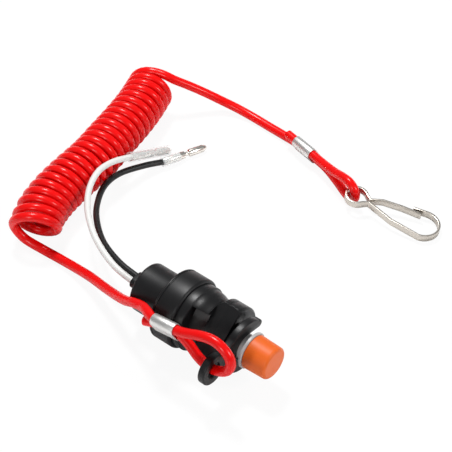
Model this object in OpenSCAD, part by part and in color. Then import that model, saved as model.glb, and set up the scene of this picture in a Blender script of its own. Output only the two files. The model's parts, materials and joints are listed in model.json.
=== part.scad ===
// Engine kill switch with a clip-on safety lanyard.
// The switch lies on its side: its axis is X, with the button towards +X, and +Z is up.
// The origin is on the axis, at the front edge of the rubber boot, where the shoulder starts.

/* [Rubber boot] */
// Outside diameter of the boot's wide section
flange_d = 31.4; // [29.6:0.2:32.2]
// Length of the boot's wide section
flange_len = 10.6; // [9.5:0.1:14]
// Outside diameter of the boot's narrow section
boot_d = 21.8; // [20.6:0.1:22.2]
// Length of the boot's narrow section
boot_len = 15.2; // [12:0.2:22]
// Wall of the boot
boot_wall = 1.4; // [1:0.1:1.6]
// Rounding of the boot's outer edges
boot_edge = 1.3; // [0.6:0.1:1.5]
// Width of the bead around the back of the wide section
bead_w = 1.1; // [0.8:0.1:1.6]

/* [Wire gland] */
// Height of the gland's stub
gland_h = 5; // [4.6:0.1:6]
// Length of the stub behind the boot
gland_len = 5.6; // [4:0.2:9]
// Distance between the two wires in the gland
wire_gap = 3.1; // [2.8:0.1:3.4]

/* [Switch housing] */
// Outside diameter of the shoulder
shoulder_d = 28.8; // [26.6:0.2:29.6]
// Length of the shoulder's full round part
rim_len = 3.6; // [2:0.2:5]
// Length of the shoulder
shoulder_len = 11; // [10:0.2:14]
// Diameter of the shoulder's front end
shoulder_front_d = 24.6; // [22:0.2:26]
// Width of the key slot in the shoulder
key_w = 11; // [6:0.2:12.4]
// Distance from the axis to the floor of the key slot
key_floor = 8.8; // [8.6:0.1:10.5]
// Diameter of the threaded neck
neck_d = 14; // [13.4:0.1:15.4]
// Length of the neck in front of the shoulder
neck_len = 12.4; // [12:0.1:16]
// Diameter of the contact chamber
chamber_d = 23.2; // [22:0.2:24.6]
// Thickness of the wall in front of the contact chamber
chamber_wall = 2; // [1.4:0.1:2.4]

/* [Nuts] */
// Outside diameter of both nuts
nut_d = 28.8; // [26:0.2:30]
// Distance across the nuts' two flats
nut_flats = 17.4; // [16.4:0.2:22]
// Thickness of the back nut
back_nut_len = 4.6; // [3.6:0.2:5]
// Thickness of the front nut
front_nut_len = 5.6; // [4:0.2:6]
// Chamfer at the outer edge of the back nut
back_chamfer = 2; // [0.6:0.1:2.4]
// Chamfer at the outer edge of the front nut
front_chamfer = 0.8; // [0.4:0.1:1.6]

/* [Button] */
// Diameter of the stem
stem_d = 11; // [10:0.1:11.2]
// Diameter of the collar
collar_d = 16; // [14.6:0.2:18]
// Thickness of the collar
collar_len = 2.3; // [1.8:0.1:3]
// Diameter of the cap at the collar
cap_d = 14.8; // [13.6:0.2:16]
// Diameter of the cap at its front
cap_front_d = 14.2; // [12.8:0.2:15]
// Length of the cap
cap_len = 11; // [9:0.2:14]
// Rounding of the cap's front edge
cap_edge = 1.4; // [0.6:0.1:1.8]
// How far the button can be pressed
travel = 1.2; // [0.8:0.1:1.3]

/* [Contacts] */
// Thickness of the base that holds the terminals
base_len = 2.6; // [2:0.1:2.8]
// Distance of each terminal from the axis
terminal_offset = 7.2; // [6.9:0.1:7.4]
// Diameter of a contact head
contact_d = 3; // [2.4:0.1:3.2]
// Thickness of the contact ring
ring_len = 0.8; // [0.6:0.1:0.9]
// Outside diameter of the contact ring
ring_d = 18.2; // [17.6:0.1:18.8]
// Outside diameter of the return spring
spring_d = 6; // [5.4:0.1:6.2]
// Diameter of the return spring's wire
spring_wire = 0.7; // [0.5:0.1:0.8]

/* [Clip] */
// Outside diameter of the fork
fork_d = 24; // [24:0.5:29]
// Thickness of the clip
clip_len = 3.2; // [2.4:0.1:3.6]
// Distance from the fork's middle to the middle of the eye
eye_offset = 19.8; // [19:0.1:21]
// Outside diameter of the eye
eye_d = 13.6; // [11:0.2:14]
// Diameter of the hole in the eye
eye_hole_d = 7; // [5.8:0.1:7]
// Turn of the clip about the axis
clip_turn = 10; // [8:0.5:12]

/* [Lanyard] */
// Diameter of the lanyard's cord
cord_d = 4.2; // [3.6:0.1:4.2]
// Outside diameter of the coil
coil_d = 23; // [20:0.5:23]
// Length of each crimped ferrule
ferrule_len = 11.6; // [9:0.2:12]
// Wall of a ferrule
ferrule_wall = 0.45; // [0.3:0.05:0.6]

/* [Snap hook] */
// Width of the hook's strip
strip_w = 3.4; // [3:0.1:4.4]
// Thickness of the hook's strip
strip_t = 1; // [0.7:0.1:1.1]
// Radius of the hook's eye, at the middle of the strip
hook_eye_r = 4.8; // [4.6:0.1:5.4]
// Radius of the hook's end bend, at the middle of the strip
hook_bend_r = 7.4; // [7:0.1:8.5]
// Distance between the eye and the end bend
hook_reach = 32; // [30:0.5:42]

/* [Wires] */
// Diameter of each wire
wire_d = 2.8; // [2:0.1:2.9]
// Diameter of the bullets' tips
bullet_d = 3.5; // [3.2:0.1:4]
// Length of a bullet's tip
bullet_len = 9.6; // [6:0.2:11]
// Wall of the clear sleeves
sleeve_wall = 0.5; // [0.3:0.05:0.55]

/* [Hidden] */
$fn = 96;

// Radial clearance of pieces that are pushed together, and of pieces that run on each other
fit = 0.05;
run = 0.1;
// Clearance between the clip and what it slides past
slide_gap = 0.2;
// Overlap of a cutting shape past the surface that it opens
cut = 1;

// Stations along the axis
boot_back = -flange_len - boot_len;
chamber_front = -chamber_wall;
body_back = -flange_len + boot_wall;
base_front = body_back + base_len;
neck_front = shoulder_len + neck_len;
front_nut_x = shoulder_len + back_nut_len;
clip_back = neck_front + slide_gap;
clip_front = clip_back + clip_len;
collar_cone = 1.2;
collar_back = clip_front + travel + 0.1;
collar_front = collar_back + collar_len;

// Radii and small sizes that follow from the sizes above
body_r = flange_d / 2 - boot_wall;
bore_r = stem_d / 2 + run;
retainer_r = stem_d / 2 + 1.5;
retainer_len = 1.4;
spigot_r = 4.2;
ring_x = chamber_front - run - retainer_len - ring_len;
keeper_len = 0.5;
ring_gap = 1.3;
keeper_r = 5.4;
contact_top = ring_x - travel - 0.1;
spring_bore_r = spring_d / 2 + 0.3;
spring_bore_front = 8;
spring_turns = 8;
spring_r = (spring_d - spring_wire) / 2;
pip_r = spring_d / 2 - spring_wire - 0.15;
seal_r = 0.55;
seal_x = neck_front - 4;
nose_r = 4.6;
nose_len = cap_len - 3;
fork_slot = stem_d / 2 + slide_gap;
key_turn = 136;
nut_turn = 127.6;
eye_neck = 4;
bead_groove = 0.45;
gland_step = 0.4;
barrel_r = wire_d / 2 + 0.4;

// The snap hook lies with its eye lifted on the cord, and its end on the surface
hook_at = [5.5, 105.8, -9.3];
hook_turn = 10;
hook_tilt = 6;

// Route of the lanyard from the coil, through the near ferrule, round the clip's eye and back
near_route = [[-95.6, -5.8, -4.2], [-94.6, -5.6, -8], [-91.3, -4.6, -11.2], [-83.1, -2.9, -13.4],
    [-74.5, -2.3, -13.6], [-64.6, -2.7, -12.4], [-53.3, -4.6, -9.4], [-42.8, -7.6, -5.8],
    [-33.4, -10.4, -2], [-25.6, -12.8, 2], [-19.3, -14.1, 6], [-14.1, -15, 8.2],
    [-11.4, -16.2, 9.4], [-4.5, -19, 10.9], [7.5, -19, 12.7], [12.5, -18.6, 14.2],
    [18, -18, 16.5], [24, -17.5, 17.9], [29, -17.7, 17.4], [32.8, -18, 14.6],
    [34, -18.4, 11], [32.4, -18.9, 7], [28.4, -19.4, 4.4], [24, -19.5, 3.6],
    [18, -18.8, 4.6], [12.5, -17.7, 7], [7.5, -17.2, 8.6], [-4.5, -17.2, 6.8],
    [-10.5, -18, 5]];
// Route of the lanyard from the coil, through the far ferrule, round the hook's eye and back
far_route = [[-110.9, 101.1, 5.2], [-107.4, 102.8, 4.9], [-103.7, 104, 4.3], [-100.4, 105.7, 2.6],
    [-94.7, 110.4, -1.3], [-89, 115, -5.5], [-82.3, 119.2, -9.6], [-74.5, 121.7, -12],
    [-65.5, 122.7, -13.4], [-55.7, 122.3, -13.6], [-46, 121.6, -13.4], [-37.5, 120.6, -13],
    [-25.6, 117.8, -13], [-18, 115.8, -13.2], [-10, 112.4, -13.5], [0, 107.4, -13.4],
    [3.6, 106.1, -12], [4.9, 105.8, -9.3], [3.9, 106, -6], [0.6, 106.9, -4.2],
    [-4, 108.4, -4.9], [-10, 110.4, -6.8], [-18, 113.2, -8.6], [-26.1, 115.6, -9.2],
    [-38, 118.4, -9.2], [-43.5, 119.7, -9.2]];
// Middle line of the coil, from its far end to its near end
coil_route = [[-110.2, 99.6, -4.2], [-106, 87, -4.2], [-103, 74, -4.2], [-100.5, 60, -4.2],
    [-98, 46, -4.2], [-97, 31, -4.2], [-95.5, 18, -4.2], [-92.5, 7, -4.2], [-88.5, -1, -4.2]];
// Routes of the two wires, from their terminals through the gland to their bullets
white_route = [[-12.4, -7.2, 0], [-17, -5.6, 0], [-22.4, -1.55, 0], [-31.4, -1.55, 0],
    [-44.2, 0.2, 0.4], [-58.2, 5.7, 1], [-67.5, 11.5, 2], [-75.4, 18.5, 2], [-82.2, 27.5, 2],
    [-86.1, 37.6, 2], [-86, 46.6, 1], [-84.9, 57.3, -3]];
black_route = [[-12.4, 7.2, 0], [-17, 5.6, 0], [-22.4, 1.55, 0], [-31.4, 1.55, 0],
    [-43.6, 3.4, -0.5], [-57.5, 9, -2], [-69.5, 17.7, -4], [-78.1, 27, -6], [-84.8, 39.1, -7.5],
    [-85.4, 49.4, -8], [-81.8, 62, -10], [-78.2, 71.8, -12.4]];
// Far end of each bullet
white_tip = [-81.4, 80.2, -12.7];
black_tip = [-70.5, 92.8, -13.6];

// Points of an arc about a middle, in steps of about ten degrees
function arc(middle, r, from, to) = let (steps = max(2, ceil(abs(to - from) / 10)))
    [for (i = [0:steps]) let (a = from + (to - from) * i / steps)
        [middle.x + r * cos(a), middle.y + r * sin(a)]];
function unit(v) = v / norm(v);
// Direction of a route at one of its points
function heading(route, i) = unit(route[min(i + 1, len(route) - 1)] - route[max(i - 1, 0)]);
// One ring of a tube, square to its heading
function ring(route, i, r, sides, side) = let (
        ahead = heading(route, i), u = unit(cross(ahead, side)), v = cross(u, ahead))
    [for (k = [0:sides - 1]) route[i] + r * (cos(360 * k / sides) * u + sin(360 * k / sides) * v)];
// Outline of a strip of even thickness about a flat middle line
function beside(line, i, d) = let (ahead = unit(line[min(i + 1, len(line) - 1)] - line[max(i - 1, 0)]))
    line[i] + d * [-ahead.y, ahead.x];
function strip(line, t) = concat(
    [for (i = [0:len(line) - 1]) beside(line, i, t / 2)],
    [for (i = [len(line) - 1:-1:0]) beside(line, i, -t / 2)]);

// A turned shape about X, from its outline as [radius, station] points
module turned(outline) {
    rotate([0, 90, 0]) rotate_extrude() polygon(outline);
}

// A round bar along X between two stations
module bar(from, to, r) {
    translate([from, 0, 0]) rotate([0, 90, 0]) cylinder(h = to - from, r = r);
}

// A shape drawn as [y, z] and given thickness along X
module plate(from, thickness) {
    translate([from, 0, 0]) rotate([90, 0, 90]) linear_extrude(thickness) children();
}

// An oblong about two points on X
module stadium(half, r) {
    union() {
        for (side = [-1, 1]) {
            translate([side * half, 0]) circle(r);
        }
        square([2 * half, 2 * r], center = true);
    }
}

// A shape built along X, laid from one point towards another
module along(from, to) {
    way = to - from;
    translate(from)
        rotate([0, -asin(way.z / norm(way)), atan2(way.y, way.x)])
            children();
}

// A tube that follows a route; side is a direction that the route never runs in
module tube(route, d, sides, side) {
    count = len(route);
    points = [for (i = [0:count - 1]) each ring(route, i, d / 2, sides, side)];
    walls = [for (i = [0:count - 2], k = [0:sides - 1]) let (n = (k + 1) % sides)
        [i * sides + k, i * sides + n, (i + 1) * sides + n, (i + 1) * sides + k]];
    start = [for (k = [sides - 1:-1:0]) k];
    finish = [for (k = [0:sides - 1]) (count - 1) * sides + k];
    polyhedron(points, concat([start, finish], walls));
}

module rear_boot() {
    r = flange_d / 2;
    s = boot_d / 2;
    groove_x = -flange_len + bead_w;
    color("#1b1b1d") difference() {
        turned(concat(
            [[0, boot_back + boot_wall], [0, boot_back]],
            arc([s - boot_edge, boot_back + boot_edge], boot_edge, -90, 0),
            [[s, -flange_len]],
            arc([r - boot_edge / 2, -flange_len + boot_edge / 2], boot_edge / 2, -90, 0),
            [[r, groove_x], [r - bead_groove, groove_x + 0.2], [r, groove_x + 0.5]],
            arc([r - boot_edge, -boot_edge], boot_edge, 0, 80),
            [[body_r + fit, 0], [body_r + fit, body_back],
             [s - boot_wall, body_back], [s - boot_wall, boot_back + boot_wall]]));
        plate(boot_back - cut, boot_wall + 2 * cut)
            stadium(wire_gap / 2, gland_h / 2 - gland_step + fit);
    }
}

module wire_gland() {
    inner = boot_back + boot_wall;
    color("#202022") difference() {
        union() {
            plate(boot_back - gland_len, gland_len) stadium(wire_gap / 2, gland_h / 2);
            plate(boot_back - cut, boot_wall + 2 * cut)
                stadium(wire_gap / 2, gland_h / 2 - gland_step);
            plate(inner, 1.2) stadium(wire_gap / 2, gland_h / 2 + 0.4);
        }
        for (side = [-1, 1]) {
            translate([0, side * wire_gap / 2, 0])
                bar(boot_back - gland_len - cut, inner + 1.2 + cut, wire_d / 2 + fit);
        }
    }
}

module switch_housing() {
    shoulder_r = shoulder_d / 2;
    front_r = shoulder_front_d / 2;
    ring_room = ring_d / 2 + ring_gap;
    color("#222224") difference() {
        turned([[bore_r, chamber_front], [ring_room, chamber_front],
            [ring_room, base_front], [chamber_d / 2, base_front],
            [chamber_d / 2, body_back], [body_r, body_back], [body_r, 0],
            [shoulder_r, 0], [shoulder_r, rim_len], [shoulder_r - 0.6, rim_len + 0.4],
            [shoulder_r - 0.9, shoulder_len * 0.6], [front_r + 0.4, shoulder_len * 0.84], [front_r, shoulder_len],
            [neck_d / 2, shoulder_len], [neck_d / 2, neck_front - 0.5],
            [neck_d / 2 - 0.5, neck_front], [bore_r, neck_front]]);
        rotate([key_turn, 0, 0])
            translate([rim_len + 0.4, key_floor, -key_w / 2])
                cube([shoulder_len - rim_len, shoulder_r, key_w]);
    }
}

// A round nut with two flats; chamfers are at its back and front edges
module flat_nut(from, thickness, back, front) {
    r = nut_d / 2;
    color("#262628") intersection() {
        turned([[neck_d / 2 + fit, from], [r - back, from], [r, from + back],
            [r, from + thickness - front], [r - front, from + thickness],
            [neck_d / 2 + fit, from + thickness]]);
        rotate([nut_turn, 0, 0])
            translate([from - cut, -nut_flats / 2, -nut_d])
                cube([thickness + 2 * cut, nut_flats, 2 * nut_d]);
    }
}

module back_nut() {
    flat_nut(shoulder_len, back_nut_len, back_chamfer, 0.2);
}

module front_nut() {
    flat_nut(front_nut_x, front_nut_len, 0.2, front_chamfer);
}

module terminal_base() {
    color("#6b4a2f") difference() {
        union() {
            bar(body_back, base_front, chamber_d / 2 - fit);
            bar(base_front - fit, base_front + 1, pip_r);
        }
        for (side = [-1, 1]) {
            translate([0, side * terminal_offset, 0])
                bar(body_back - cut, base_front + cut, contact_d / 4 + fit);
        }
    }
}

// A contact head on a rivet, with a tail for the wire behind the base
module terminal(side) {
    tail = 2.4;
    color("#c9a24b") translate([0, side * terminal_offset, 0]) union() {
        bar(base_front, contact_top, contact_d / 2);
        bar(body_back - 0.4, base_front + fit, contact_d / 4);
        bar(body_back - 0.8, body_back, contact_d / 2);
        translate([white_route[0].x, -tail / 2, -0.4])
            cube([body_back - 0.4 - white_route[0].x, tail, 0.8]);
    }
}

module terminal_white() {
    terminal(-1);
}

module terminal_black() {
    terminal(1);
}

module contact_ring() {
    color("#d0a850") turned([[spigot_r + fit, ring_x], [ring_d / 2, ring_x],
        [ring_d / 2, ring_x + ring_len], [spigot_r + fit, ring_x + ring_len]]);
}

module ring_keeper() {
    color("silver") difference() {
        turned([[spigot_r + fit, ring_x - keeper_len], [keeper_r, ring_x - keeper_len],
            [keeper_r, ring_x], [spigot_r + fit, ring_x]]);
        translate([ring_x - keeper_len - cut, 0, -1])
            cube([keeper_len + 2 * cut, keeper_r + cut, 2]);
    }
}

module return_spring() {
    back = base_front + spring_wire / 2 + 0.02;
    front = spring_bore_front - spring_wire / 2 - 0.02;
    steps = 12 * spring_turns;
    line = [for (i = [0:steps]) let (a = 360 * i / 12)
        [back + (front - back) * i / steps, spring_r * cos(a), spring_r * sin(a)]];
    color("lightgray") tube(line, spring_wire, 6, [1, 0, 0]);
}

module button_stem() {
    r = stem_d / 2;
    groove = seal_r + 0.15;
    spigot_back = ring_x - keeper_len - 0.2;
    color("#a9a9a7") turned([[spring_bore_r, spigot_back], [spigot_r, spigot_back],
        [spigot_r, ring_x + ring_len], [retainer_r, ring_x + ring_len],
        [retainer_r, chamber_front - run], [r, chamber_front - run],
        [r, seal_x - groove], [r - 2 * seal_r, seal_x - groove],
        [r - 2 * seal_r, seal_x + groove], [r, seal_x + groove],
        [r, collar_back], [collar_d / 2, collar_back + collar_cone],
        [collar_d / 2, collar_front - 0.3], [collar_d / 2 - 0.3, collar_front],
        [nose_r, collar_front], [nose_r, collar_front + nose_len],
        [0, collar_front + nose_len], [0, spring_bore_front], [spring_bore_r, spring_bore_front]]);
}

module stem_seal() {
    color("#101010") turned(arc([stem_d / 2 - seal_r + 0.02, seal_x], seal_r, 0, 360));
}

module button_cap() {
    r = cap_d / 2;
    front = collar_front + cap_len;
    f = cap_front_d / 2;
    color("#f0641e") turned(concat(
        [[nose_r + fit, collar_front], [r - 0.3, collar_front], [r, collar_front + 0.3]],
        arc([f - cap_edge, front - cap_edge], cap_edge, 0, 90),
        [[0, front], [0, collar_front + nose_len], [nose_r + fit, collar_front + nose_len]]));
}

// The fork opens away from the eye, so that a pull on the eye draws it off the stem
module lanyard_clip() {
    r = fork_d / 2;
    tip_x = 7.6;
    tip_r = (sqrt(r * r - tip_x * tip_x) - fork_slot) / 2;
    tip = [tip_x, fork_slot + tip_r];
    color("#1e1e20") rotate([-clip_turn, 0, 0]) plate(clip_back, clip_len) {
        difference() {
            union() {
                intersection() {
                    circle(r);
                    translate([-r, -r]) square([r + tip.x, 2 * r]);
                }
                polygon([[-r * 0.6, r * 0.72], [-eye_offset, eye_neck], [-eye_offset, -eye_neck],
                    [-r * 0.6, -r * 0.72]]);
                translate([-eye_offset, 0]) circle(eye_d / 2);
            }
            circle(fork_slot);
            translate([0, -fork_slot]) square([r + cut, 2 * fork_slot]);
            translate([-eye_offset, 0]) circle(eye_hole_d / 2);
        }
        for (side = [-1, 1]) {
            translate([tip.x, side * tip.y]) circle(tip_r);
        }
    }
}

module lanyard_near() {
    color("#e0161c") tube(near_route, cord_d, 8, [0, 1, 0]);
}

module lanyard_far() {
    color("#e0161c") tube(far_route, cord_d, 8, [0, 1, 0]);
}

module lanyard_coil() {
    color("#d81218") tube(coil_route, coil_d, 16, [0, 0, 1]);
}

// A double crimp sleeve about two straight stretches of cord, each given by its two ends
module ferrule(one, two) {
    middle = (one[0] + one[1] + two[0] + two[1]) / 4;
    ahead = unit(one[1] - one[0]);
    apart = ((one[0] + one[1]) - (two[0] + two[1])) / 2;
    across = apart - (apart * ahead) * ahead;
    half = norm(across) / 2;
    u = unit(across);
    v = cross(ahead, u);
    hole = cord_d / 2 + run;
    r = hole + ferrule_wall;
    color("#c9c9c6") multmatrix([
        [ahead.x, u.x, v.x, middle.x], [ahead.y, u.y, v.y, middle.y],
        [ahead.z, u.z, v.z, middle.z], [0, 0, 0, 1]])
        plate(-ferrule_len / 2, ferrule_len) difference() {
            stadium(half, r);
            stadium(half, hole);
        }
}

module near_ferrule() {
    ferrule([near_route[13], near_route[14]], [near_route[27], near_route[26]]);
}

module far_ferrule() {
    ferrule([far_route[11], far_route[12]], [far_route[24], far_route[23]]);
}

// One bent strip: an eye, a long leg, an end bend with a lip, and a spring tongue against the lip
module snap_hook() {
    e = hook_eye_r;
    b = hook_bend_r;
    waist = e + 1.6;
    bend = [hook_reach, 0.8];
    lip = [bend.x - b, bend.y + b - 1];
    tongue_end = [lip.x + 4.5, lip.y - strip_t - 0.6];
    line = concat(
        [[tongue_end.x, tongue_end.y], [lip.x - 4.5, tongue_end.y - 0.6], [waist + 5, 3.6]],
        [[waist, 0.9]], arc([0, 0], e, 35, 325), [[waist, -0.9]],
        [[hook_reach * 0.6, -5]],
        arc(bend, b, -80, 95), [lip]);
    color("#c8c2b8") translate(hook_at) rotate([0, hook_tilt, hook_turn])
        translate([0, 0, -strip_w / 2]) linear_extrude(strip_w) polygon(strip(line, strip_t));
}

module white_wire() {
    color("#ececea") tube(white_route, wire_d, 8, [0, 0, 1]);
}

module black_wire() {
    color("#232323") tube(black_route, wire_d, 8, [0, 0, 1]);
}

// A crimped bullet, built back from its tip, which is at the origin with the wire towards -X
module bullet(barrel) {
    r = bullet_d / 2;
    color("#d5d0c6") turned([[0, -barrel], [barrel_r, -barrel],
        [barrel_r, -bullet_len - 3.4], [r, -bullet_len - 3.4], [r, -bullet_len - 2.2],
        [0.9, -bullet_len - 2.2], [0.9, -bullet_len], [r - 0.5, -bullet_len],
        [r, -bullet_len + 0.5], [r, -2.2], [r * 0.55, -0.4], [r * 0.3, 0], [0, 0]]);
}

module white_bullet() {
    start = white_route[len(white_route) - 1];
    along(start, white_tip) translate([norm(white_tip - start), 0, 0])
        bullet(norm(white_tip - start));
}

module black_bullet() {
    start = black_route[len(black_route) - 1];
    along(start, black_tip) translate([norm(black_tip - start), 0, 0])
        bullet(norm(black_tip - start));
}

// A clear sleeve about a bullet, between two distances from the bullet's start
module sleeve(start, tip, from, to) {
    r = max(bullet_d / 2, barrel_r) + fit;
    color("#dfe4e4", 0.5) along(start, tip)
        turned([[r, from], [r + sleeve_wall, from], [r + sleeve_wall, to], [r, to]]);
}

module white_sleeve() {
    start = white_route[len(white_route) - 1];
    sleeve(start, white_tip, -1, norm(white_tip - start) - 1);
}

module black_sleeve() {
    start = black_route[len(black_route) - 1];
    sleeve(start, black_tip, -1, norm(black_tip - start) - bullet_len - 4.6);
}

rear_boot();
wire_gland();
switch_housing();
back_nut();
front_nut();
terminal_base();
terminal_white();
terminal_black();
contact_ring();
ring_keeper();
return_spring();
button_stem();
stem_seal();
button_cap();
lanyard_clip();
lanyard_near();
lanyard_coil();
lanyard_far();
near_ferrule();
far_ferrule();
snap_hook();
white_wire();
black_wire();
white_bullet();
black_bullet();
white_sleeve();
black_sleeve();
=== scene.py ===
"""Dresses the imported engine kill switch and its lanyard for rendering."""

import json
import math

import bpy
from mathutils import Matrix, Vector

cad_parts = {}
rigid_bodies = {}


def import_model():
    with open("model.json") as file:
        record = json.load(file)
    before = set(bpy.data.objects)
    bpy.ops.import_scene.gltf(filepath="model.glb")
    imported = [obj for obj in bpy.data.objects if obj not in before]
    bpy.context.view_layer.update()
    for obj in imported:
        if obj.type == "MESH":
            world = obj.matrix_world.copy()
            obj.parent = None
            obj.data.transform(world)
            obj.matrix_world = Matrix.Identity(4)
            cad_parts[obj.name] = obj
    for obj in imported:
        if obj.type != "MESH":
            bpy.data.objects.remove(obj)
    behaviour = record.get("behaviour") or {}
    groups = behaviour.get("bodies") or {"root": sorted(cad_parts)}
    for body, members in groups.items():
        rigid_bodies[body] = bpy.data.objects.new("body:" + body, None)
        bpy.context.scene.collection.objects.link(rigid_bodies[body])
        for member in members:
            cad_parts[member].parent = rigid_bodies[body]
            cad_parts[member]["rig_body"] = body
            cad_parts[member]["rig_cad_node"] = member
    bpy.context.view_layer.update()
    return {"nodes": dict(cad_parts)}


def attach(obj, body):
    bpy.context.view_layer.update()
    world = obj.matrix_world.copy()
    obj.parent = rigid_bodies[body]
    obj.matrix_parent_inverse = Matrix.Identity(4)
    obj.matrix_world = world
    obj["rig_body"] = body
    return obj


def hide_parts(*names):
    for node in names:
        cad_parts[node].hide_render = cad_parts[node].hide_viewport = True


bl_info = {
    "name": "Engine Kill Switch with Lanyard",
    "version": (1, 0, 0),
    "blender": (4, 5, 0),
    "location": "View3D > Sidebar > Kill Switch",
    "description": "Builds the visible pieces, finishes and stage of an engine kill switch "
                   "with a coiled lanyard",
    "category": "Object",
}

MM = 0.001
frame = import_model()

# Routes of the cords, in millimetres, as the solids have them
NEAR_ROUTE = [
    (-10.5, -18, 5), (-4.5, -17.2, 6.8), (7.5, -17.2, 8.6), (12.5, -17.7, 7), (18, -18.8, 4.6),
    (24, -19.5, 3.6), (28.4, -19.4, 4.4), (32.4, -18.9, 7), (34, -18.4, 11), (32.8, -18, 14.6),
    (29, -17.7, 17.4), (24, -17.5, 17.9), (18, -18, 16.5), (12.5, -18.6, 14.2), (7.5, -19, 12.7),
    (-4.5, -19, 10.9), (-11.4, -16.2, 9.4), (-14.1, -15, 8.2), (-19.3, -14.1, 6), (-25.6, -12.8, 2),
    (-33.4, -10.4, -2), (-42.8, -7.6, -5.8), (-53.3, -4.6, -9.4), (-64.6, -2.7, -12.4),
    (-74.5, -2.3, -13.6), (-83.1, -2.9, -13.4), (-91.3, -4.6, -11.2), (-94.6, -5.6, -8),
]
FAR_ROUTE = [
    (-107.4, 102.8, 4.9), (-103.7, 104, 4.3), (-100.4, 105.7, 2.6), (-94.7, 110.4, -1.3),
    (-89, 115, -5.5), (-82.3, 119.2, -9.6), (-74.5, 121.7, -12), (-65.5, 122.7, -13.4),
    (-55.7, 122.3, -13.6), (-46, 121.6, -13.4), (-37.5, 120.6, -13), (-25.6, 117.8, -13),
    (-18, 115.8, -13.2), (-10, 112.4, -13.5), (0, 107.4, -13.4), (3.6, 106.1, -12),
    (4.9, 105.8, -9.3), (3.9, 106, -6), (0.6, 106.9, -4.2), (-4, 108.4, -4.9), (-10, 110.4, -6.8),
    (-18, 113.2, -8.6), (-26.1, 115.6, -9.2), (-38, 118.4, -9.2), (-43.5, 119.7, -9.2),
]
COIL_ROUTE = [
    (-88.1, -1.8), (-92.5, 7), (-95.5, 18), (-97, 31), (-98, 46), (-100.5, 60), (-103, 74),
    (-106, 87), (-110.7, 101.1),
]
COIL_HEIGHT = -4.2
WHITE_ROUTE = [
    (-12.4, -7.2, 0), (-17, -5.6, 0), (-22.4, -1.55, 0), (-31.4, -1.55, 0), (-44.2, 0.2, 0.4),
    (-58.2, 5.7, 1), (-67.5, 11.5, 2), (-75.4, 18.5, 2), (-82.2, 27.5, 2), (-86.1, 37.6, 2),
    (-86, 46.6, 1), (-84.9, 57.3, -3),
]
BLACK_ROUTE = [
    (-12.4, 7.2, 0), (-17, 5.6, 0), (-22.4, 1.55, 0), (-31.4, 1.55, 0), (-43.6, 3.4, -0.5),
    (-57.5, 9, -2), (-69.5, 17.7, -4), (-78.1, 27, -6), (-84.8, 39.1, -7.5),
    (-85.4, 49.4, -8), (-81.8, 62, -10), (-78.2, 71.8, -12.4),
]
FLOOR = -15.7
# How the coil's end at the switch leans, and over how many turns the lean fades
END_LEAN = math.radians(22)
LEAN_TURNS = 10
LOOSE_TURNS = 2


# ---------------------------------------------------------------- shaping

def metres(point):
    """A point in metres from one in millimetres."""
    return Vector(point) * MM


def deselect():
    bpy.ops.object.select_all(action="DESELECT")


def make_active(piece):
    deselect()
    piece.select_set(True)
    bpy.context.view_layer.objects.active = piece


def settle(piece):
    """Puts the object at the origin, unturned and unscaled, with its place in its mesh."""
    make_active(piece)
    bpy.ops.object.transform_apply(location=True, rotation=True, scale=True)


def smooth_shade(piece, degrees=35):
    make_active(piece)
    bpy.ops.object.shade_smooth_by_angle(angle=math.radians(degrees))


def bevel(piece, width, segments=3, degrees=35):
    """Rounds the sharp edges of a piece; width is in millimetres."""
    make_active(piece)
    rounding = piece.modifiers.new("Rounding", "BEVEL")
    rounding.width = width * MM
    rounding.segments = segments
    rounding.limit_method = "ANGLE"
    rounding.angle_limit = math.radians(degrees)
    rounding.harden_normals = False
    bpy.ops.object.modifier_apply(modifier=rounding.name)


def softened(node, name, width, segments=3, degrees=32):
    """A merged copy of a CAD node with its hard edges rounded."""
    make_active(frame["nodes"][node])
    bpy.ops.object.duplicate()
    piece = bpy.context.active_object
    piece.name = piece.data.name = name
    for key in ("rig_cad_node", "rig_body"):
        if key in piece:
            del piece[key]
    bpy.ops.object.parent_clear(type="CLEAR_KEEP_TRANSFORM")
    piece.data.materials.clear()
    bpy.ops.object.mode_set(mode="EDIT")
    bpy.ops.mesh.select_all(action="SELECT")
    bpy.ops.mesh.customdata_custom_splitnormals_clear()
    bpy.ops.mesh.remove_doubles(threshold=2e-6)
    bpy.ops.mesh.dissolve_limited(angle_limit=math.radians(0.6))
    bpy.ops.object.mode_set(mode="OBJECT")
    if width:
        bevel(piece, width, segments, degrees)
    return piece


def smoothed(points, step):
    """Points about step millimetres apart on a smooth curve through the given points."""
    pts = [Vector(p) for p in points]
    pts = [2 * pts[0] - pts[1]] + pts + [2 * pts[-1] - pts[-2]]
    out = []
    for i in range(1, len(pts) - 2):
        p0, p1, p2, p3 = pts[i - 1:i + 3]
        count = max(1, round((p2 - p1).length / step))
        d = (p2 - p1).length
        m1 = (p2 - p0) * d / max((p2 - p1).length + (p1 - p0).length, 1e-9)
        m2 = (p3 - p1) * d / max((p3 - p2).length + (p2 - p1).length, 1e-9)
        for k in range(count):
            t = k / count
            out.append(
                (2 * t ** 3 - 3 * t ** 2 + 1) * p1 + (t ** 3 - 2 * t ** 2 + t) * m1
                + (3 * t ** 2 - 2 * t ** 3) * p2 + (t ** 3 - t ** 2) * m2
            )
    out.append(pts[-2])
    return out


def nearest(points, place):
    return min(range(len(points)), key=lambda i: (points[i] - place).length)


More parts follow.
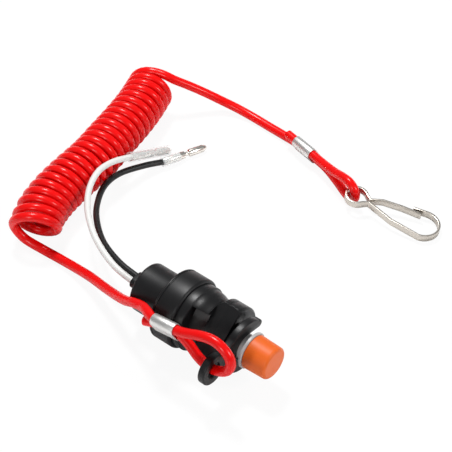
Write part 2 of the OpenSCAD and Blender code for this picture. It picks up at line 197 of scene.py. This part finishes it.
def coil_points(radius, turns, loose_pitch, per_turn):
    """Points of the wound stretch, from the switch's end to the hook's end."""
    middle = smoothed([(x, y, COIL_HEIGHT) for x, y in COIL_ROUTE], 0.5)
    far = [0]
    for a, b in zip(middle, middle[1:]):
        far.append(far[-1] + (b - a).length)
    total = far[-1]
    loose = LOOSE_TURNS
    pitch = (total - loose * loose_pitch) / (turns - loose)
    out, j = [], 0
    count = round(turns * per_turn)
    for i in range(count + 1):
        n = turns * i / count
        s = n * loose_pitch if n < loose else loose * loose_pitch + (n - loose) * pitch
        while j < len(far) - 2 and far[j + 1] < s:
            j += 1
        t = (s - far[j]) / (far[j + 1] - far[j])
        centre = middle[j].lerp(middle[j + 1], min(max(t, 0), 1))
        a, b = middle[max(j - 6, 0)], middle[min(j + 7, len(middle) - 1)]
        ahead = (b - a).normalized()
        side = ahead.cross(Vector((0, 0, 1)))
        angle = math.pi - 2 * math.pi * n
        lean = END_LEAN * max(0, 1 - n / LEAN_TURNS)
        over = math.cos(lean) * Vector((0, 0, 1)) - math.sin(lean) * ahead
        out.append(centre + radius * (math.cos(angle) * side + math.sin(angle) * over))
    return out


def tube(name, points, diameter, around=4):
    """A round cord as a curve of one open spline through points in millimetres."""
    curve = bpy.data.curves.new(name, "CURVE")
    curve.dimensions = "3D"
    spline = curve.splines.new("POLY")
    spline.points.add(len(points) - 1)
    for point, place in zip(spline.points, points):
        point.co = (*metres(place), 1)
    curve.bevel_depth = diameter * MM / 2
    curve.bevel_resolution = around
    curve.use_fill_caps = True
    spline.use_smooth = True
    piece = bpy.data.objects.new(name, curve)
    bpy.context.scene.collection.objects.link(piece)
    return piece


# ---------------------------------------------------------------- finishes

def new_group(name, inputs, outputs):
    group = bpy.data.node_groups.new(name, "ShaderNodeTree")
    for label, kind, value in inputs:
        socket = group.interface.new_socket(label, in_out="INPUT", socket_type=kind)
        if value is not None:
            socket.default_value = value
    for label, kind in outputs:
        group.interface.new_socket(label, in_out="OUTPUT", socket_type=kind)
    start = group.nodes.new("NodeGroupInput")
    end = group.nodes.new("NodeGroupOutput")
    return group, start, end


def node(tree, kind, **values):
    made = tree.nodes.new(kind)
    for key, value in values.items():
        if hasattr(made, key):
            setattr(made, key, value)
        else:
            made.inputs[key.replace("_", " ")].default_value = value
    return made


def mould_grain():
    """Fine skin and slow shade changes of a moulded surface."""
    name = "Moulded Grain"
    if name in bpy.data.node_groups:
        return bpy.data.node_groups[name]
    group, start, end = new_group(
        name,
        [("Vector", "NodeSocketVector", None), ("Grain Scale", "NodeSocketFloat", 3000.0),
         ("Cloud Scale", "NodeSocketFloat", 90.0)],
        [("Height", "NodeSocketFloat"), ("Cloud", "NodeSocketFloat")],
    )
    link = group.links.new
    fine = node(group, "ShaderNodeTexNoise", Detail=2.0, Roughness=0.6)
    cloud = node(group, "ShaderNodeTexNoise", Detail=4.0, Roughness=0.55)
    pores = node(group, "ShaderNodeTexVoronoi", feature="SMOOTH_F1", Smoothness=0.6)
    mix = node(group, "ShaderNodeMath", operation="MULTIPLY_ADD")
    mix.inputs[1].default_value = 0.5
    for made, socket in ((fine, "Grain Scale"), (cloud, "Cloud Scale"), (pores, "Grain Scale")):
        link(start.outputs["Vector"], made.inputs["Vector"])
        link(start.outputs[socket], made.inputs["Scale"])
    link(pores.outputs["Distance"], mix.inputs[0])
    link(fine.outputs[0], mix.inputs[2])
    link(mix.outputs[0], end.inputs["Height"])
    link(cloud.outputs[0], end.inputs["Cloud"])
    return group


def scuffs():
    """A mask of thin scratches and small rubbed spots."""
    name = "Handling Scuffs"
    if name in bpy.data.node_groups:
        return bpy.data.node_groups[name]
    group, start, end = new_group(
        name,
        [("Vector", "NodeSocketVector", None), ("Scale", "NodeSocketFloat", 160.0),
         ("Spread", "NodeSocketFloat", 0.62)],
        [("Mask", "NodeSocketFloat")],
    )
    link = group.links.new
    stretch = node(group, "ShaderNodeMapping")
    stretch.inputs["Rotation"].default_value = (0.5, 0.3, 0.9)
    stretch.inputs["Scale"].default_value = (1.0, 9.0, 2.0)
    thin = node(group, "ShaderNodeTexNoise", Detail=5.0, Roughness=0.7)
    spots = node(group, "ShaderNodeTexNoise", Detail=3.0, Roughness=0.6)
    add = node(group, "ShaderNodeMath", operation="MULTIPLY_ADD")
    add.inputs[1].default_value = 0.5
    cut = node(group, "ShaderNodeMapRange")
    cut.inputs["To Max"].default_value = 1.0
    top = node(group, "ShaderNodeMath", operation="ADD")
    top.inputs[1].default_value = 0.16
    half = node(group, "ShaderNodeMath", operation="MULTIPLY")
    half.inputs[1].default_value = 0.5
    link(start.outputs["Vector"], stretch.inputs["Vector"])
    link(stretch.outputs[0], thin.inputs["Vector"])
    link(start.outputs["Vector"], spots.inputs["Vector"])
    link(start.outputs["Scale"], thin.inputs["Scale"])
    link(start.outputs["Scale"], spots.inputs["Scale"])
    link(spots.outputs[0], half.inputs[0])
    link(thin.outputs[0], add.inputs[0])
    link(half.outputs[0], add.inputs[2])
    link(add.outputs[0], cut.inputs["Value"])
    link(start.outputs["Spread"], cut.inputs["From Min"])
    link(start.outputs["Spread"], top.inputs[0])
    link(top.outputs[0], cut.inputs["From Max"])
    link(cut.outputs[0], end.inputs["Mask"])
    return group


def brushing():
    """Fine drawn lines along one direction of a metal."""
    name = "Drawn Lines"
    if name in bpy.data.node_groups:
        return bpy.data.node_groups[name]
    group, start, end = new_group(
        name,
        [("Vector", "NodeSocketVector", None), ("Scale", "NodeSocketFloat", 500.0),
         ("Stretch", "NodeSocketVector", (1.0, 12.0, 12.0))],
        [("Lines", "NodeSocketFloat")],
    )
    link = group.links.new
    stretch = node(group, "ShaderNodeVectorMath", operation="MULTIPLY")
    lines = node(group, "ShaderNodeTexNoise", Detail=4.0, Roughness=0.65)
    link(start.outputs["Vector"], stretch.inputs[0])
    link(start.outputs["Stretch"], stretch.inputs[1])
    link(stretch.outputs[0], lines.inputs["Vector"])
    link(start.outputs["Scale"], lines.inputs["Scale"])
    link(lines.outputs[0], end.inputs["Lines"])
    return group


def finish(name, colour, shade, roughness, rough_span=0.08, grain=3000.0, cloud=90.0, bump=0.02,
           scuff=0.0, scuff_colour=None, scuff_scale=160.0, lines=None, metallic=0.0,
           specular=0.5, coat=0.0, coat_roughness=0.1, alpha=1.0, ior=1.5, transmission=0.0,
           subsurface=0.0):
    """A material with a mould's grain or a metal's lines, slow shade changes and light wear."""
    if name in bpy.data.materials:
        return bpy.data.materials[name]
    made = bpy.data.materials.new(name)
    made.use_nodes = True
    tree = made.node_tree
    tree.nodes.clear()
    link = tree.links.new
    out = node(tree, "ShaderNodeOutputMaterial")
    shader = node(tree, "ShaderNodeBsdfPrincipled")
    link(shader.outputs[0], out.inputs["Surface"])
    shader.inputs["Metallic"].default_value = metallic
    shader.inputs["Specular IOR Level"].default_value = specular
    shader.inputs["IOR"].default_value = ior
    shader.inputs["Coat Weight"].default_value = coat
    shader.inputs["Coat Roughness"].default_value = coat_roughness
    shader.inputs["Transmission Weight"].default_value = transmission
    shader.inputs["Alpha"].default_value = alpha
    if subsurface:
        shader.inputs["Subsurface Weight"].default_value = subsurface
        shader.inputs["Subsurface Radius"].default_value = (1.0, 0.25, 0.1)
        shader.inputs["Subsurface Scale"].default_value = 0.0012
    place = node(tree, "ShaderNodeTexCoord")
    skin = node(tree, "ShaderNodeGroup")
    skin.node_tree = mould_grain()
    skin.inputs["Grain Scale"].default_value = grain
    skin.inputs["Cloud Scale"].default_value = cloud
    link(place.outputs["Object"], skin.inputs["Vector"])
    tint = node(tree, "ShaderNodeMix", data_type="RGBA")
    tint.inputs["A"].default_value = (*colour, 1)
    tint.inputs[6].default_value = (*colour, 1)
    tint.inputs[7].default_value = (*shade, 1)
    link(skin.outputs["Cloud"], tint.inputs[0])
    last_colour = tint.outputs[2]
    rough = node(tree, "ShaderNodeMapRange")
    rough.inputs["From Min"].default_value = 0.25
    rough.inputs["From Max"].default_value = 0.75
    rough.inputs["To Min"].default_value = roughness - rough_span / 2
    rough.inputs["To Max"].default_value = roughness + rough_span / 2
    link(skin.outputs["Cloud"], rough.inputs["Value"])
    last_rough = rough.outputs[0]
    height = skin.outputs["Height"]
    if lines:
        drawn = node(tree, "ShaderNodeGroup")
        drawn.node_tree = brushing()
        drawn.inputs["Stretch"].default_value = lines
        link(place.outputs["Object"], drawn.inputs["Vector"])
        streak = node(tree, "ShaderNodeMath", operation="MULTIPLY_ADD")
        streak.inputs[1].default_value = 0.25
        link(drawn.outputs["Lines"], streak.inputs[0])
        link(last_rough, streak.inputs[2])
        last_rough = streak.outputs[0]
        height = drawn.outputs["Lines"]
    if scuff:
        wear = node(tree, "ShaderNodeGroup")
        wear.node_tree = scuffs()
        wear.inputs["Scale"].default_value = scuff_scale
        link(place.outputs["Object"], wear.inputs["Vector"])
        amount = node(tree, "ShaderNodeMath", operation="MULTIPLY")
        amount.inputs[1].default_value = scuff
        link(wear.outputs["Mask"], amount.inputs[0])
        worn = node(tree, "ShaderNodeMix", data_type="RGBA")
        link(amount.outputs[0], worn.inputs[0])
        link(last_colour, worn.inputs[6])
        worn.inputs[7].default_value = (*(scuff_colour or shade), 1)
        last_colour = worn.outputs[2]
        dull = node(tree, "ShaderNodeMath", operation="MULTIPLY_ADD")
        dull.inputs[1].default_value = 0.25
        link(amount.outputs[0], dull.inputs[0])
        link(last_rough, dull.inputs[2])
        last_rough = dull.outputs[0]
    relief = node(tree, "ShaderNodeBump")
    relief.inputs["Strength"].default_value = 1.0
    relief.inputs["Distance"].default_value = bump * MM
    link(height, relief.inputs["Height"])
    link(last_colour, shader.inputs["Base Color"])
    link(last_rough, shader.inputs["Roughness"])
    link(relief.outputs[0], shader.inputs["Normal"])
    return made


def red_cord():
    c = bpy.context.scene.kill_switch_colours
    red = tuple(c.cord)
    return finish("Red Polyurethane Cord", red, tuple(v * 0.86 for v in red), 0.26, rough_span=0.05,
                  grain=1500, cloud=60, bump=0.004, scuff=0.08, scuff_colour=(0.82, 0.01, 0.008),
                  scuff_scale=220, specular=0.24, coat_roughness=0.12)


def black_rubber():
    c = tuple(bpy.context.scene.kill_switch_colours.rubber)
    return finish("Black Boot Rubber", c, tuple(v * 1.6 for v in c), 0.42, rough_span=0.08, grain=2600,
                  cloud=110, bump=0.01, scuff=0.2, scuff_colour=(0.016, 0.016, 0.016), specular=0.24)


def black_plastic():
    c = tuple(bpy.context.scene.kill_switch_colours.plastic)
    return finish("Black Moulded Plastic", c, tuple(v * 1.5 for v in c), 0.36, rough_span=0.08, grain=3400,
                  cloud=130, bump=0.007, scuff=0.22, scuff_colour=(0.018, 0.018, 0.018), specular=0.26)


def orange_plastic():
    c = tuple(bpy.context.scene.kill_switch_colours.cap)
    return finish("Orange Cap Plastic", c, (c[0] * 0.93, c[1] * 0.82, c[2] * 0.8), 0.46, grain=2600,
                  cloud=120, bump=0.01, scuff=0.2, scuff_colour=(0.8, 0.2, 0.04), scuff_scale=260,
                  specular=0.3, subsurface=0.04)


def grey_plastic():
    return finish("Grey Stem Plastic", (0.42, 0.415, 0.41), (0.36, 0.355, 0.35), 0.4, grain=3000,
                  cloud=150, bump=0.008, scuff=0.2, scuff_colour=(0.55, 0.55, 0.55))


def ferrule_metal():
    return finish("Pressed Ferrule Metal", (0.72, 0.71, 0.69), (0.6, 0.59, 0.57), 0.3, grain=900,
                  cloud=200, bump=0.004, lines=(12.0, 1.5, 12.0), scuff=0.18,
                  scuff_colour=(0.58, 0.57, 0.56), metallic=1.0)


def hook_metal():
    return finish("Nickel Plated Strip", (0.56, 0.52, 0.47), (0.47, 0.43, 0.38), 0.22, grain=900,
                  cloud=90, bump=0.006, lines=(2.0, 2.0, 16.0), scuff=0.35,
                  scuff_colour=(0.42, 0.38, 0.33), metallic=1.0)


def bullet_metal():
    return finish("Tinned Bullet Metal", (0.74, 0.71, 0.66), (0.66, 0.62, 0.56), 0.26, grain=1200,
                  cloud=300, bump=0.002, scuff=0.12, scuff_colour=(0.58, 0.54, 0.48), metallic=1.0)


def white_pvc():
    return finish("White Wire Insulation", (0.66, 0.66, 0.64), (0.6, 0.6, 0.58), 0.36, grain=1800,
                  cloud=70, bump=0.004, scuff=0.12, scuff_colour=(0.5, 0.49, 0.47))


def black_pvc():
    return finish("Black Wire Insulation", (0.006, 0.006, 0.006), (0.01, 0.01, 0.01), 0.4, grain=1800,
                  cloud=70, bump=0.008, scuff=0.15, scuff_colour=(0.03, 0.03, 0.03), specular=0.3)


def clear_pvc():
    return finish("Clear Sleeve Vinyl", (0.93, 0.95, 0.95), (0.86, 0.89, 0.89), 0.2, grain=700,
                  cloud=120, bump=0.005, alpha=0.24, specular=0.6)


def brass():
    return finish("Contact Brass", (0.8, 0.58, 0.26), (0.66, 0.46, 0.2), 0.3, grain=1200, cloud=300,
                  bump=0.006, scuff=0.3, scuff_colour=(0.5, 0.34, 0.16), metallic=1.0)


def spring_steel():
    return finish("Spring Steel", (0.6, 0.6, 0.6), (0.5, 0.5, 0.5), 0.3, grain=1200, cloud=300,
                  bump=0.004, metallic=1.0)


def base_board():
    return finish("Brown Terminal Base", (0.2, 0.1, 0.045), (0.14, 0.07, 0.03), 0.6, grain=1500,
                  cloud=200, bump=0.02)


def dress(piece, material):
    """Gives a piece one finish all over."""
    slots = piece.data.materials
    if len(slots) == 0:
        slots.append(material)
    for i in range(len(slots)):
        slots[i] = material


def join_in(piece, material, body, slot, *nodes):
    """Finishes a new piece, makes it move with its body and hides the CAD nodes it replaces."""
    dress(piece, material)
    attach(piece, body)
    if nodes:
        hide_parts(*nodes)


# ---------------------------------------------------------------- values

class KillSwitchSizes(bpy.types.PropertyGroup):
    cord_diameter: bpy.props.FloatProperty(
        name="Cord Diameter", description="Thickness of the lanyard's cord", default=0.0042,
        min=0.003, max=0.0042, unit="LENGTH")
    coil_diameter: bpy.props.FloatProperty(
        name="Coil Diameter", description="Outside diameter of the wound stretch", default=0.023,
        min=0.018, max=0.023, unit="LENGTH")
    coil_turns: bpy.props.FloatProperty(
        name="Coil Turns", description="Number of turns in the wound stretch", default=23.25,
        min=4.25, max=23.25)
    coil_end_pitch: bpy.props.FloatProperty(
        name="End Pitch", description="Pitch of the two turns nearest the switch", default=0.0052,
        min=0.0043, max=0.008, unit="LENGTH")
    wire_diameter: bpy.props.FloatProperty(
        name="Wire Diameter", description="Thickness of each lead", default=0.0028,
        min=0.002, max=0.0028, unit="LENGTH")


class KillSwitchColours(bpy.types.PropertyGroup):
    cord: bpy.props.FloatVectorProperty(
        name="Cord", description="Colour of the lanyard's cord", subtype="COLOR", size=3,
        default=(0.74, 0.0015, 0.0015), min=0, max=1)
    cap: bpy.props.FloatVectorProperty(
        name="Cap", description="Colour of the button's cap", subtype="COLOR", size=3,
        default=(0.66, 0.115, 0.008), min=0, max=1)
    rubber: bpy.props.FloatVectorProperty(
        name="Boot", description="Colour of the rubber boot", subtype="COLOR", size=3,
        default=(0.0045, 0.0045, 0.0048), min=0, max=1)
    plastic: bpy.props.FloatVectorProperty(
        name="Housing", description="Colour of the housing, nuts and clip", subtype="COLOR", size=3,
        default=(0.0045, 0.0045, 0.0048), min=0, max=1)


# ---------------------------------------------------------------- pieces

class StageOperator(bpy.types.Operator):
    """Sets up the pale floor, the soft lights and the camera"""
    bl_idname = "kill_switch.stage"
    bl_label = "Stage"

    def execute(self, context):
        scene = context.scene
        scene.view_settings.view_transform = "Standard"
        deselect()
        bpy.ops.mesh.primitive_plane_add(size=6, location=(0, 0, FLOOR * MM - 0.00003))
        floor = context.active_object
        floor.name = "Floor"
        paint = bpy.data.materials.new("Studio Floor")
        paint.use_nodes = True
        tree = paint.node_tree
        tree.nodes.clear()
        out = node(tree, "ShaderNodeOutputMaterial")
        mix = node(tree, "ShaderNodeMixShader")
        plain = node(tree, "ShaderNodeBsdfDiffuse")
        plain.inputs["Color"].default_value = (0.84, 0.84, 0.84, 1)
        glow = node(tree, "ShaderNodeEmission")
        glow.inputs["Color"].default_value = (1, 1, 1, 1)
        glow.inputs["Strength"].default_value = 1.0
        amount = self.seen(tree, 0.92)
        tree.links.new(amount, mix.inputs[0])
        tree.links.new(plain.outputs[0], mix.inputs[1])
        tree.links.new(glow.outputs[0], mix.inputs[2])
        tree.links.new(mix.outputs[0], out.inputs["Surface"])
        floor.data.materials.append(paint)

        world = bpy.data.worlds.new("Studio")
        scene.world = world
        world.use_nodes = True
        tree = world.node_tree
        tree.nodes.clear()
        out = node(tree, "ShaderNodeOutputWorld")
        mix = node(tree, "ShaderNodeMixShader")
        soft = node(tree, "ShaderNodeBackground")
        soft.inputs["Color"].default_value = (0.95, 0.97, 1.0, 1)
        soft.inputs["Strength"].default_value = 0.34
        white = node(tree, "ShaderNodeBackground")
        white.inputs["Color"].default_value = (1, 1, 1, 1)
        white.inputs["Strength"].default_value = 1.0
        tree.links.new(self.seen(tree, 1.0), mix.inputs[0])
        tree.links.new(soft.outputs[0], mix.inputs[1])
        tree.links.new(white.outputs[0], mix.inputs[2])
        tree.links.new(mix.outputs[0], out.inputs["Surface"])

        self.lamp("Key", (-0.35, 0.25, 0.85), (-0.03, 0.05, 0), 0.18, 8.0)
        self.lamp("Side", (0.75, 0.25, 0.55), (-0.03, 0.05, 0), 0.18, 4.2)
        self.lamp("Front", (0.1, -0.8, 0.45), (-0.03, 0.05, 0), 0.18, 2.5)

        lens = bpy.data.cameras.new("Camera")
        camera = bpy.data.objects.new("Camera", lens)
        scene.collection.objects.link(camera)
        camera.location = (0.2800, -0.3242, 0.4793)
        way = Vector((-0.0320, 0.0600, -0.0157)) - camera.location
        camera.rotation_euler = way.to_track_quat("-Z", "Y").to_euler()
        lens.lens = 126.2
        lens.sensor_width = 36
        lens.clip_start = 0.01
        scene.camera = camera
        return {"FINISHED"}

    def seen(self, tree, most):
        """How far the eye and clear pieces see the white background."""
        path = node(tree, "ShaderNodeLightPath")
        add = node(tree, "ShaderNodeMath", operation="MAXIMUM")
        scale = node(tree, "ShaderNodeMath", operation="MULTIPLY")
        scale.inputs[1].default_value = most
        tree.links.new(path.outputs["Is Camera Ray"], add.inputs[0])
        tree.links.new(path.outputs["Is Transmission Ray"], add.inputs[1])
        tree.links.new(add.outputs[0], scale.inputs[0])
        return scale.outputs[0]

    def lamp(self, name, place, target, size, power):
        light = bpy.data.lights.new(name, "AREA")
        light.shape = "DISK"
        light.size = size
        light.energy = power
        lamp = bpy.data.objects.new(name, light)
        bpy.context.scene.collection.objects.link(lamp)
        lamp.location = place
        lamp.rotation_euler = (Vector(target) - Vector(place)).to_track_quat("-Z", "Y").to_euler()


class LanyardOperator(bpy.types.Operator):
    """Lays the whole lanyard: its loop at the clip, its coil and its loop at the hook"""
    bl_idname = "kill_switch.lanyard"
    bl_label = "Lanyard"

    def execute(self, context):
        sizes = context.scene.kill_switch_sizes
        d = sizes.cord_diameter / MM
        radius = sizes.coil_diameter / MM / 2 - d / 2
        coil = coil_points(radius, sizes.coil_turns, sizes.coil_end_pitch / MM, 26)
        near = smoothed(NEAR_ROUTE + [coil[0], coil[2]], 1.2)
        far = smoothed([coil[-3], coil[-1]] + FAR_ROUTE, 1.2)
        points = near[:nearest(near, coil[0])] + coil + far[nearest(far, coil[-1]) + 1:]
        cord = tube("Lanyard_Cord", points, d, around=5)
        join_in(cord, red_cord(), "lanyard", "lanyard_cord", "lanyard_near", "lanyard_coil", "lanyard_far")
        return {"FINISHED"}


class FerruleOperator(bpy.types.Operator):
    """Presses the two double ferrules round the cord's ends"""
    bl_idname = "kill_switch.ferrules"
    bl_label = "Ferrules"

    def execute(self, context):
        for node_name, name in (("near_ferrule", "Near_Ferrule"), ("far_ferrule", "Far_Ferrule")):
            piece = softened(node_name, name, 0.14, 2)
            smooth_shade(piece)
            join_in(piece, ferrule_metal(), "lanyard", "ferrule_metal", node_name)
        return {"FINISHED"}


class HookOperator(bpy.types.Operator):
    """Bends the snap hook from one flat strip"""
    bl_idname = "kill_switch.hook"
    bl_label = "Snap Hook"

    def execute(self, context):
        piece = softened("snap_hook", "Snap_Hook", 0.2, 2)
        smooth_shade(piece)
        join_in(piece, hook_metal(), "lanyard", "hook_steel", "snap_hook")
        return {"FINISHED"}


class BulletOperator(bpy.types.Operator):
    """Turns the two bullets and pulls their clear sleeves over them"""
    bl_idname = "kill_switch.bullets"
    bl_label = "Bullets and Sleeves"

    def execute(self, context):
        for colour in ("white", "black"):
            piece = softened(colour + "_bullet", colour.title() + "_Bullet", 0.12, 2)
            smooth_shade(piece)
            join_in(piece, bullet_metal(), "switch", "bullet_metal", colour + "_bullet")
            piece = softened(colour + "_sleeve", colour.title() + "_Sleeve", 0.12, 2)
            smooth_shade(piece)
            join_in(piece, clear_pvc(), "switch", "clear_sleeve", colour + "_sleeve")
        return {"FINISHED"}


class WireOperator(bpy.types.Operator):
    """Lays the two leads from their terminals to their bullets"""
    bl_idname = "kill_switch.wires"
    bl_label = "Leads"

    def execute(self, context):
        d = context.scene.kill_switch_sizes.wire_diameter / MM
        leads = (("white", WHITE_ROUTE, white_pvc()), ("black", BLACK_ROUTE, black_pvc()))
        for colour, route, paint in leads:
            points = smoothed(route, 1.5)
            wire = tube(colour.title() + "_Wire", points, d)
            join_in(wire, paint, "switch", colour + "_insulation", colour + "_wire")
        return {"FINISHED"}


class ClipOperator(bpy.types.Operator):
    """Moulds the fork clip with its eye"""
    bl_idname = "kill_switch.clip"
    bl_label = "Clip"

    def execute(self, context):
        piece = softened("lanyard_clip", "Fork_Clip", 0.9, 4, 40)
        smooth_shade(piece, 40)
        join_in(piece, black_plastic(), "lanyard", "clip_plastic", "lanyard_clip")
        return {"FINISHED"}


class ButtonOperator(bpy.types.Operator):
    """Moulds the button's cap"""
    bl_idname = "kill_switch.button"
    bl_label = "Button"

    def execute(self, context):
        piece = softened("button_cap", "Button_Cap", 0.2, 2)
        smooth_shade(piece, 40)
        join_in(piece, orange_plastic(), "button", "cap_plastic", "button_cap")
        return {"FINISHED"}


class HousingOperator(bpy.types.Operator):
    """Moulds the housing, its boot, its gland and the two nuts"""
    bl_idname = "kill_switch.housing"
    bl_label = "Housing, Boot and Nuts"

    def execute(self, context):
        for node_name, name, width in (("switch_housing", "Housing", 0.35), ("back_nut", "Back_Nut", 0.35),
                                       ("front_nut", "Front_Nut", 0.35)):
            piece = softened(node_name, name, width, 3)
            smooth_shade(piece, 40)
            slot = "housing_plastic" if node_name == "switch_housing" else "nut_plastic"
            join_in(piece, black_plastic(), "switch", slot, node_name)
        for node_name, name, width in (("rear_boot", "Boot", 0.3), ("wire_gland", "Gland", 0.3)):
            piece = softened(node_name, name, width, 3)
            smooth_shade(piece, 45)
            join_in(piece, black_rubber(), "switch", "boot_rubber", node_name)
        return {"FINISHED"}


class WorksOperator(bpy.types.Operator):
    """Finishes the working parts inside the switch"""
    bl_idname = "kill_switch.works"
    bl_label = "Working Parts"

    def execute(self, context):
        finishes = {
            "terminal_base": base_board, "terminal_white": brass, "terminal_black": brass,
            "contact_ring": brass, "ring_keeper": spring_steel, "return_spring": spring_steel,
            "stem_seal": black_rubber, "button_stem": grey_plastic,
        }
        for node_name, make in finishes.items():
            dress(frame["nodes"][node_name], make())
        return {"FINISHED"}


class KillSwitchPanel(bpy.types.Panel):
    """Lists the pieces, sizes and colours of the kill switch"""
    bl_idname = "VIEW3D_PT_kill_switch"
    bl_label = "Kill Switch"
    bl_space_type = "VIEW_3D"
    bl_region_type = "UI"
    bl_category = "Kill Switch"

    def draw(self, context):
        for group in (context.scene.kill_switch_sizes, context.scene.kill_switch_colours):
            for name in group.__annotations__:
                self.layout.prop(group, name)
        for step in STEPS:
            self.layout.operator(step.bl_idname)


STEPS = (
    StageOperator, FerruleOperator, HookOperator, LanyardOperator, BulletOperator, WireOperator,
    ClipOperator, ButtonOperator, HousingOperator, WorksOperator,
)
CLASSES = (KillSwitchSizes, KillSwitchColours) + STEPS + (KillSwitchPanel,)


def register():
    for made in CLASSES:
        bpy.utils.register_class(made)
    bpy.types.Scene.kill_switch_sizes = bpy.props.PointerProperty(type=KillSwitchSizes)
    bpy.types.Scene.kill_switch_colours = bpy.props.PointerProperty(type=KillSwitchColours)


def unregister():
    del bpy.types.Scene.kill_switch_colours
    del bpy.types.Scene.kill_switch_sizes
    for made in reversed(CLASSES):
        bpy.utils.unregister_class(made)


def main():
    register()
    bpy.ops.kill_switch.stage()
    bpy.ops.kill_switch.ferrules()
    bpy.ops.kill_switch.hook()
    bpy.ops.kill_switch.lanyard()
    bpy.ops.kill_switch.bullets()
    bpy.ops.kill_switch.wires()
    bpy.ops.kill_switch.clip()
    bpy.ops.kill_switch.button()
    bpy.ops.kill_switch.housing()
    bpy.ops.kill_switch.works()


if __name__ == "__main__":
    main()
